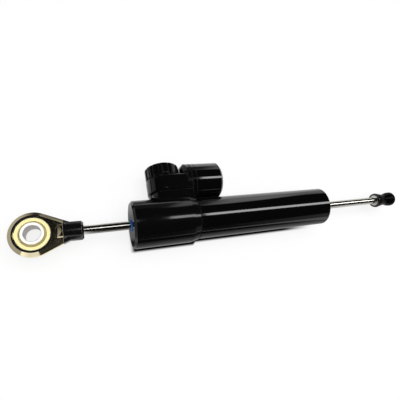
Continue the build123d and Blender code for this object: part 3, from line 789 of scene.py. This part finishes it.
@dataclass
class Knob:
    """The fluted knob, grown by Geometry Nodes.

    Its section is a closed line of corners, with the two outer edges rounded. It is turned round
    the knob's axis, which crosses the rod's, and the flutes are cut in its side.
    """

    lean: float
    along: float = 88.7 * MM
    base: float = 32.3 * MM
    radius: float = 12.8 * MM
    height: float = 9.3 * MM
    edge: float = 1.3 * MM
    recess_radius: float = 4.4 * MM
    recess_depth: float = 2.6 * MM
    bore_radius: float = 3.02 * MM
    bore_height: float = 6.0 * MM
    screw_radius: float = 1.27 * MM
    flutes: int = 12
    first_flute: float = math.radians(14.0)
    flute_radius: float = 1.5 * MM
    flute_depth: float = 1.1 * MM
    land_round: float = 0.25 * MM
    faces_round: int = 288
    faces_a_side: int = 6
    lower_edge: int = 1
    upper_edge: int = 3
    finish: Finish = SATIN_BLACK

    def mesh(self) -> bpy.types.Mesh:
        """Grows the knob and puts it in its place on the tower.

        Returns:
            The knob's mesh, in the damper's own frame.
        """
        mesh = grown(self._tree(), self._inputs(), "adjuster_knob_surface")
        ahead = Vector((1.0, 0.0, 0.0))
        across = Vector((0.0, math.cos(self.lean), -math.sin(self.lean)))
        turn = Matrix((ahead, across.cross(ahead), across)).transposed().to_4x4()
        base = ahead * self.along + across * self.base
        mesh.transform(Matrix.Translation(base) @ turn)
        return mesh

    def _inputs(self) -> dict[str, float]:
        """Names the tree's inputs.

        Returns:
            Each input's name with the knob's own size.
        """
        return {
            "Radius": self.radius,
            "Height": self.height,
            "Edge": self.edge,
            "Recess Radius": self.recess_radius,
            "Recess Depth": self.recess_depth,
            "Bore Radius": self.bore_radius,
            "Bore Height": self.bore_height,
            "Screw Radius": self.screw_radius,
            "Flutes": float(self.flutes),
            "First Flute": self.first_flute,
            "Flute Radius": self.flute_radius,
            "Flute Depth": self.flute_depth,
            "Land Round": self.land_round,
        }

    def _tree(self) -> Tree:
        """Builds the tree that makes the knob.

        Returns:
            The tree, whose inputs are the knob's sizes in metres, with its base at the origin.
        """
        tree = bpy.data.node_groups.new("fluted_knob", "GeometryNodeTree")
        add_socket = tree.interface.new_socket
        for label in self._inputs():
            add_socket(name=label, in_out="INPUT", socket_type="NodeSocketFloat")
        add_socket(name="Geometry", in_out="OUTPUT", socket_type="NodeSocketGeometry")
        given = node(tree, "NodeGroupInput").outputs
        corners = self._corners(tree, given)
        sides = len(corners) - 1
        grid = node(tree, "GeometryNodeMeshGrid")
        grid.inputs["Vertices X"].default_value = self.faces_round + 1
        grid.inputs["Vertices Y"].default_value = self.faces_a_side * sides + 1
        split = node(tree, "ShaderNodeSeparateXYZ")
        tree.links.new(grid.outputs["UV Map"], split.inputs[0])
        way = maths(tree, "MULTIPLY", split.outputs["Y"], float(sides))
        out, up = self._section(tree, corners, way)
        angle = maths(tree, "MULTIPLY", split.outputs["X"], 2.0 * math.pi)
        cut = self._flute(tree, given, angle)
        fluted = maths(tree, "SMOOTH_MIN", out, cut, given["Land Round"])
        place = node(tree, "ShaderNodeCombineXYZ")
        for socket, turned in zip(place.inputs, ("COSINE", "SINE")):
            tree.links.new(maths(tree, "MULTIPLY", fluted, maths(tree, turned, angle)), socket)
        tree.links.new(up, place.inputs["Z"])
        shaped = node(tree, "GeometryNodeSetPosition")
        tree.links.new(grid.outputs["Mesh"], shaped.inputs["Geometry"])
        tree.links.new(place.outputs[0], shaped.inputs["Position"])
        closed = node(tree, "GeometryNodeMergeByDistance")
        closed.inputs["Distance"].default_value = WELD_DISTANCE
        real = node(tree, "GeometryNodeRealizeInstances")
        paint = node(tree, "GeometryNodeSetMaterial")
        paint.inputs["Material"].default_value = self.finish.material()
        chain = [shaped, closed, real, paint, node(tree, "NodeGroupOutput")]
        for before, after in zip(chain, chain[1:]):
            tree.links.new(before.outputs[0], after.inputs[0])
        return tree

    @staticmethod
    def _corners(tree: Tree, given: bpy.types.NodeOutputs) -> list[tuple[Value, Value]]:
        """Places the corners of the section.

        Args:
            tree: The knob's tree.
            given: The tree's inputs.

        Returns:
            Each corner's radius and height, from the foot of the bore outwards and back to it.
        """
        less = partial(maths, tree, "SUBTRACT")
        radius, height, edge = given["Radius"], given["Height"], given["Edge"]
        inner, top = less(radius, edge), less(height, edge)
        floor = less(height, given["Recess Depth"])
        bore, ledge = given["Bore Radius"], given["Bore Height"]
        recess, screw = given["Recess Radius"], given["Screw Radius"]
        return [
            (bore, 0.0),
            (inner, 0.0),
            (radius, edge),
            (radius, top),
            (inner, height),
            (recess, height),
            (recess, floor),
            (screw, floor),
            (screw, ledge),
            (bore, ledge),
            (bore, 0.0),
        ]

    def _section(
        self, tree: Tree, corners: list[tuple[Value, Value]], way: Socket
    ) -> tuple[Value, Value]:
        """Walks round the section from corner to corner.

        Args:
            tree: The knob's tree.
            corners: Each corner's radius and height.
            way: How far to go, in sides of the section.

        Returns:
            The radius and the height there.
        """
        add, less, times = (partial(maths, tree, kind) for kind in ("ADD", "SUBTRACT", "MULTIPLY"))
        out, up = corners[0]
        for side, ((r0, h0), (r1, h1)) in enumerate(zip(corners, corners[1:])):
            clamped = node(tree, "ShaderNodeClamp")
            tree.links.new(less(way, float(side)), clamped.inputs["Value"])
            step_out = step_up = clamped.outputs[0]
            if side in (self.lower_edge, self.upper_edge):
                quarter = times(clamped.outputs[0], math.pi / 2)
                rise, run = maths(tree, "SINE", quarter), less(1.0, maths(tree, "COSINE", quarter))
                step_out, step_up = (rise, run) if side == self.lower_edge else (run, rise)
            out = add(out, times(less(r1, r0), step_out))
            up = add(up, times(less(h1, h0), step_up))
        return out, up

    @staticmethod
    def _flute(tree: Tree, given: bpy.types.NodeOutputs, angle: Socket) -> Socket:
        """Finds how far out the nearest flute leaves the metal.

        Args:
            tree: The knob's tree.
            given: The tree's inputs.
            angle: The angle round the knob.

        Returns:
            The radius left there, which is past the knob's own where there is no flute.
        """
        add, less, times = (partial(maths, tree, kind) for kind in ("ADD", "SUBTRACT", "MULTIPLY"))
        square = partial(maths, tree, "POWER")
        half = times(maths(tree, "DIVIDE", 2.0 * math.pi, given["Flutes"]), 0.5)
        turned = maths(tree, "WRAP", less(angle, given["First Flute"]), half, times(half, -1.0))
        centre = add(less(given["Radius"], given["Flute Depth"]), given["Flute Radius"])
        aside = maths(tree, "ABSOLUTE", times(centre, maths(tree, "SINE", turned)))
        room = less(square(given["Flute Radius"], 2.0), square(aside, 2.0))
        reach = maths(tree, "SQRT", maths(tree, "MAXIMUM", room, 0.0))
        cut = less(times(centre, maths(tree, "COSINE", turned)), reach)
        return add(cut, times(maths(tree, "LESS_THAN", room, 0.0), given["Radius"]))


@dataclass
class Adjuster(Assembly):
    """The knob on the tower and the valve that it turns, square to the leaning housing."""

    lean: float

    def shown(self) -> dict[str, Finish]:
        """Gives the screw in the knob, with its finish."""
        return {"knob_screw": BRIGHT_ZINC}

    def hidden(self) -> dict[str, Finish]:
        """Gives the pieces inside.

        Returns:
            Each piece's finish.
        """
        return {
            "adjuster_bush": TURNED_BRONZE,
            "adjuster_spindle": GROUND_STEEL,
            "spindle_o_ring": BLACK_RUBBER,
            "needle_guide": TURNED_BRONZE,
            "valve_needle": GROUND_STEEL,
            "valve_seat": GROUND_STEEL,
        }

    def build(self) -> None:
        """Dresses the pieces and grows the knob."""
        super().build()
        made = stand_in(Knob(self.lean).mesh(), "adjuster_knob")
        log.info("grew %s", made.name)


@dataclass
class Studio:
    """The pale table with its painted shadow and painted reflection, the lamps, the surroundings
    and the camera.

    Each list of stops pairs a place with the level there, and each span says where a fade starts
    and ends. Levels are as a face shows them, where 1 is white. Directions are azimuths in degrees.
    """

    # The table
    floor_size: float = 6.0
    floor_gap: float = 0.02 * MM
    floor_roughness: float = 0.9
    floor_specular: float = 0.1
    floor_shade: float = 0.9
    floor_glow: float = 0.86
    # The painted contact shadow: a dark line where the housing meets the table, and the soft shade
    # round it
    contact_reach: float = 0.06
    contact_soft: float = 0.06
    contact_width: float = 0.0021
    contact_head: float = 0.0157
    contact_tube: float = 0.0138
    contact_far: Span = (-0.001, 0.001)
    contact_start: Span = (0.060, 0.064)
    contact_step: Span = (0.108, 0.111)
    contact_stop: Span = (0.190, 0.222)
    # The table's painted reflection: the levels that reflections see on it, dark and pale by place,
    # across the rod, and where along the rod each holds
    floor_beside: Stops = (
        (-0.100, 0.0),
        (-0.074, 0.1),
        (-0.050, 0.27),
        (-0.021, 0.45),
        (-0.0155, 0.4),
        (-0.0135, 0.02),
        (-0.009, 0.02),
        (-0.006, 0.22),
        (0.006, 0.25),
        (0.012, 1.0),
    )
    floor_behind_head: Stops = (
        (0.0, 1.0),
        (0.050, 1.0),
        (0.060, 0.3),
        (0.200, 0.3),
        (0.300, 1.0),
    )
    floor_by_eye: Stops = (
        (-0.3, 1.0),
        (0.0, 1.0),
        (0.02, 0.3),
        (0.06, 0.03),
        (0.3, 0.03),
    )
    floor_before_head: Stops = (
        (-0.02, 1.0),
        (-0.006, 0.25),
        (0.010, 0.25),
        (0.02, 0.6),
        (0.04, 1.0),
    )
    before_start: Span = (0.040, 0.046)
    before_stop: Span = (0.064, 0.068)
    head_side: Span = (0.035, 0.05)
    tube_side: Span = (0.1, 0.115)
    eye_side: Span = (0.02, 0.04)
    far_left: Span = (-0.04, 0.0)
    far_left_level: float = 0.45
    far_right: Span = (0.250, 0.275)
    far_right_level: float = 0.65
    # The lamps and the card
    key_x: Span = (0.5, 1.6)
    key_level: float = 5.0
    side_x: Span = (0.03, 0.21)
    side_level: float = 2.6
    strip_y: float = 0.09
    strip_width: float = 0.22
    strip_height: float = 1.05
    dome_centre: Place = (0.15, 0.0, 1.2)
    dome_size: float = 1.2
    dome_level: float = 4.2
    card_centre: Place = (-0.06, -0.16, 0.04)
    card_size: tuple[float, float] = (0.18, 0.11)
    card_level: float = 0.85
    # The room round the table
    horizon: Stops = (
        (-180.0, 0.38),
        (-130.0, 0.38),
        (-110.0, 0.03),
        (-65.0, 0.03),
        (-40.0, 0.3),
        (-5.0, 0.5),
        (45.0, 0.6),
        (53.0, 0.6),
        (57.0, 1.0),
        (65.0, 1.0),
        (69.0, 0.08),
        (140.0, 0.06),
        (155.0, 0.38),
        (180.0, 0.38),
    )
    horizon_top: Stops = (
        (-180.0, 0.25),
        (-30.0, 0.34),
        (30.0, 0.34),
        (45.0, 0.2),
        (52.0, 0.15),
        (57.0, 0.36),
        (62.0, 0.45),
        (70.0, 0.45),
        (100.0, 0.3),
        (180.0, 0.25),
    )
    horizon_blur: float = 0.04
    ceiling_level: float = 0.005
    # The camera
    camera_place: Place = (0.030865, -0.048134, 0.224867)
    camera_right: Place = (0.938532, -0.168045, 0.301527)
    camera_down: Place = (-0.076909, -0.953344, -0.291924)
    camera_ahead: Place = (0.336515, 0.250790, -0.907668)
    camera_lens: float = 29.437
    camera_film: float = 36.0
    camera_nearest: float = 0.005

    def build(self) -> None:
        """Sets up everything round the damper."""
        self._floor()
        self._lamps()
        self._surroundings()
        self._camera()
        bpy.context.scene.view_settings.view_transform = "Standard"

    @staticmethod
    def _stops(tree: Tree, place: Socket, stops: Stops) -> Socket:
        """Reads a level off a list of stops, with straight lines between them.

        Args:
            tree: The tree to build it in.
            place: The socket with the place to read the level at.
            stops: Each place, in rising order, with its level.

        Returns:
            The level's socket.
        """
        first, last = stops[0][0], stops[-1][0]
        share = node(tree, "ShaderNodeMapRange")
        share.inputs["From Min"].default_value = first
        share.inputs["From Max"].default_value = last
        tree.links.new(place, share.inputs["Value"])
        ramp = node(tree, "ShaderNodeValToRGB")
        points = ramp.color_ramp.elements
        points[0].color = (stops[0][1],) * 3 + (1.0,)
        points[1].color = (stops[-1][1],) * 3 + (1.0,)
        for at, level in stops[1:-1]:
            points.new((at - first) / (last - first)).color = (level, level, level, 1.0)
        tree.links.new(share.outputs["Result"], ramp.inputs["Fac"])
        return ramp.outputs["Color"]

    @staticmethod
    def _fade(tree: Tree, place: Socket, ends: Span, levels: Span) -> Socket:
        """Fades smoothly from one level to another.

        Args:
            tree: The tree to build it in.
            place: The socket with the place to read the level at.
            ends: Where the fade starts and stops.
            levels: The levels there.

        Returns:
            The level's socket.
        """
        made = node(tree, "ShaderNodeMapRange", interpolation_type="SMOOTHSTEP")
        made.inputs["From Min"].default_value, made.inputs["From Max"].default_value = ends
        made.inputs["To Min"].default_value, made.inputs["To Max"].default_value = levels
        tree.links.new(place, made.inputs["Value"])
        return made.outputs["Result"]

    def _floor(self) -> None:
        """Lays the table top under the lowest point of the damper."""
        low = CAD_BOX[0][2] - self.floor_gap
        half = self.floor_size / 2
        corners = [(-half, -half, low), (half, -half, low), (half, half, low), (-half, half, low)]
        mesh = bpy.data.meshes.new("table_top")
        mesh.from_pydata(corners, [], [(0, 1, 2, 3)])
        table = bpy.data.objects.new("table_top", mesh)
        bpy.context.scene.collection.objects.link(table)
        mesh.materials.append(self._floor_paint())

    def _floor_paint(self) -> bpy.types.Material:
        """Paints the table white, with a painted shadow under the housing for the camera and
        painted levels for reflections.

        Returns:
            The table's material.
        """
        paint = bpy.data.materials.new("white_table")
        paint.use_nodes = True
        tree = paint.node_tree
        shader = tree.nodes["Principled BSDF"]
        shader.inputs["Roughness"].default_value = self.floor_roughness
        shader.inputs["Specular IOR Level"].default_value = self.floor_specular
        split = node(tree, "ShaderNodeSeparateXYZ")
        tree.links.new(node(tree, "ShaderNodeNewGeometry").outputs["Position"], split.inputs[0])
        along, aside = split.outputs["X"], split.outputs["Y"]
        painted_shadow = self._painted_contact_shadow(tree, along, aside)
        painted_reflection = self._painted_reflection(tree, along, aside)
        shade = maths(tree, "MULTIPLY", painted_shadow, self.floor_shade)
        tree.links.new(shade, shader.inputs["Base Color"])
        path = node(tree, "ShaderNodeLightPath").outputs
        glow = node(tree, "ShaderNodeEmission")
        level = mixed(tree, path["Is Camera Ray"], painted_reflection, painted_shadow)
        tree.links.new(level, glow.inputs["Strength"])
        glossy = maths(tree, "MAXIMUM", path["Is Glossy Ray"], path["Is Transmission Ray"])
        seen = maths(tree, "MULTIPLY", path["Is Camera Ray"], self.floor_glow)
        blend = node(tree, "ShaderNodeMixShader")
        tree.links.new(maths(tree, "MAXIMUM", seen, glossy), blend.inputs[0])
        tree.links.new(shader.outputs[0], blend.inputs[1])
        tree.links.new(glow.outputs[0], blend.inputs[2])
        tree.links.new(blend.outputs[0], tree.nodes["Material Output"].inputs["Surface"])
        return paint

    def _painted_contact_shadow(self, tree: Tree, along: Socket, aside: Socket) -> Socket:
        """Paints a shadow on the table: a dark line where the housing meets it, placed by position,
        and a soft shade round it from ambient occlusion.

        Args:
            tree: The table's tree.
            along: The place along the rod.
            aside: The place across it.

        Returns:
            The table's level, 0 in the line and 1 in the open.
        """
        near = node(tree, "ShaderNodeAmbientOcclusion", samples=12)
        near.inputs["Distance"].default_value = self.contact_reach
        on_tube = self._fade(tree, along, self.contact_step, (0.0, 1.0))
        edge = mixed(tree, on_tube, self.contact_head, self.contact_tube)
        from_edge = maths(tree, "ADD", aside, edge)
        # Painted shadow line under the housing, drawn by place and not cast by a lamp
        line = self._fade(tree, from_edge, (-self.contact_width, 0.0), (0.0, 1.0))
        for place, ends, levels in (
            (aside, self.contact_far, (1.0, 0.0)),
            (along, self.contact_start, (0.0, 1.0)),
            (along, self.contact_stop, (1.0, 0.0)),
        ):
            line = maths(tree, "MULTIPLY", line, self._fade(tree, place, ends, levels))
        open_sky = mixed(tree, near.outputs["AO"], 1.0 - self.contact_soft, 1.0)
        return maths(tree, "MULTIPLY", maths(tree, "SUBTRACT", 1.0, line), open_sky)

    def _painted_reflection(self, tree: Tree, along: Socket, aside: Socket) -> Socket:
        """Paints how bright the table looks in the damper's polished faces: a painted reflection,
        dark and pale by place.

        Args:
            tree: The table's tree.
            along: The place along the rod.
            aside: The place across it.

        Returns:
            The level that reflections see.
        """
        level = self._stops(tree, aside, self.floor_beside)
        for start, stop, stops in (
            (self.head_side, self.tube_side, self.floor_behind_head),
            (self.before_start, self.before_stop, self.floor_before_head),
        ):
            begun = self._fade(tree, along, start, (0.0, 1.0))
            window = maths(tree, "MULTIPLY", begun, self._fade(tree, along, stop, (1.0, 0.0)))
            patch = mixed(tree, window, 1.0, self._stops(tree, aside, stops))
            level = maths(tree, "MINIMUM", level, patch)
        by_eye = self._stops(tree, aside, self.floor_by_eye)
        for ends, levels, there in (
            (self.eye_side, (1.0, 0.0), by_eye),
            (self.far_left, (1.0, 0.0), self.far_left_level),
            (self.far_right, (0.0, 1.0), self.far_right_level),
        ):
            level = mixed(tree, self._fade(tree, along, ends, levels), level, there)
        return level

    @staticmethod
    def _lamp(
        name: str, centre: Place, size: tuple[float, float], level: float
    ) -> bpy.types.Object:
        """Hangs one flat lamp that faces down.

        Args:
            name: The lamp's name.
            centre: Its middle.
            size: Its length and width.
            level: How bright its face is, where 1 is white.

        Returns:
            The lamp.
        """
        data = bpy.data.lights.new(name, "AREA")
        data.shape = "RECTANGLE"
        data.size, data.size_y = size
        data.energy = level * math.pi * size[0] * size[1]
        lamp = bpy.data.objects.new(name, data)
        lamp.location = centre
        bpy.context.scene.collection.objects.link(lamp)
        return lamp

    def _lamps(self) -> None:
        """Hangs the strip light in two levels, the soft overhead light and the card by the eye."""
        for name, ends, level in (
            ("strip_key", self.key_x, self.key_level),
            ("strip_side", self.side_x, self.side_level),
        ):
            centre = (sum(ends) / 2, self.strip_y, self.strip_height)
            self._lamp(name, centre, (ends[1] - ends[0], self.strip_width), level)
        square = (self.dome_size, self.dome_size)
        dome = self._lamp("soft_overhead", self.dome_centre, square, self.dome_level)
        dome.visible_glossy = False
        card = self._lamp("eye_card", self.card_centre, self.card_size, self.card_level)
        card.rotation_euler = (math.pi / 2, 0.0, 0.0)

    def _surroundings(self) -> None:
        """Makes a room with pale cards low down round the damper, and dark overhead."""
        world = bpy.data.worlds.new("studio_room")
        bpy.context.scene.world = world
        world.use_nodes = True
        tree = world.node_tree
        back = tree.nodes["Background"]
        split = node(tree, "ShaderNodeSeparateXYZ")
        tree.links.new(node(tree, "ShaderNodeTexCoord").outputs["Generated"], split.inputs[0])
        x, y, z = split.outputs
        turn = maths(tree, "DEGREES", maths(tree, "ARCTAN2", y, x))
        above = maths(tree, "SUBTRACT", z, self._stops(tree, turn, self.horizon_top))
        dark = self._fade(tree, above, (-self.horizon_blur, self.horizon_blur), (0.0, 1.0))
        level = mixed(tree, dark, self._stops(tree, turn, self.horizon), self.ceiling_level)
        camera = node(tree, "ShaderNodeLightPath").outputs["Is Camera Ray"]
        tree.links.new(maths(tree, "MAXIMUM", level, camera), back.inputs["Strength"])
        back.inputs["Color"].default_value = (1.0, 1.0, 1.0, 1.0)

    def _camera(self) -> None:
        """Places the camera above the eye, looking along the damper."""
        data = bpy.data.cameras.new("camera")
        data.lens = self.camera_lens
        data.sensor_width = self.camera_film
        data.clip_start = self.camera_nearest
        back, up = ([-c for c in axis] for axis in (self.camera_ahead, self.camera_down))
        turn = Matrix((self.camera_right, up, back)).transposed()
        eye = bpy.data.objects.new("camera", data)
        eye.matrix_world = Matrix.Translation(self.camera_place) @ turn.to_4x4()
        bpy.context.scene.collection.objects.link(eye)
        bpy.context.scene.camera = eye


def main() -> None:
    """Builds the damper's pieces in order, then the studio."""
    logging.basicConfig(level=logging.INFO, format="%(name)s: %(message)s")
    for build in (edge_wear_group, grain_group, turning_group, dust_group, place_group):
        build()
    housing, reservoir = Housing(), Reservoir()
    adjuster = Adjuster(reservoir.lean(housing.head_radius))
    for assembly in (RodEye(), SlidingRod(), housing, reservoir, adjuster):
        assembly.build()
    Studio().build()


if __name__ == "__main__":
    main()
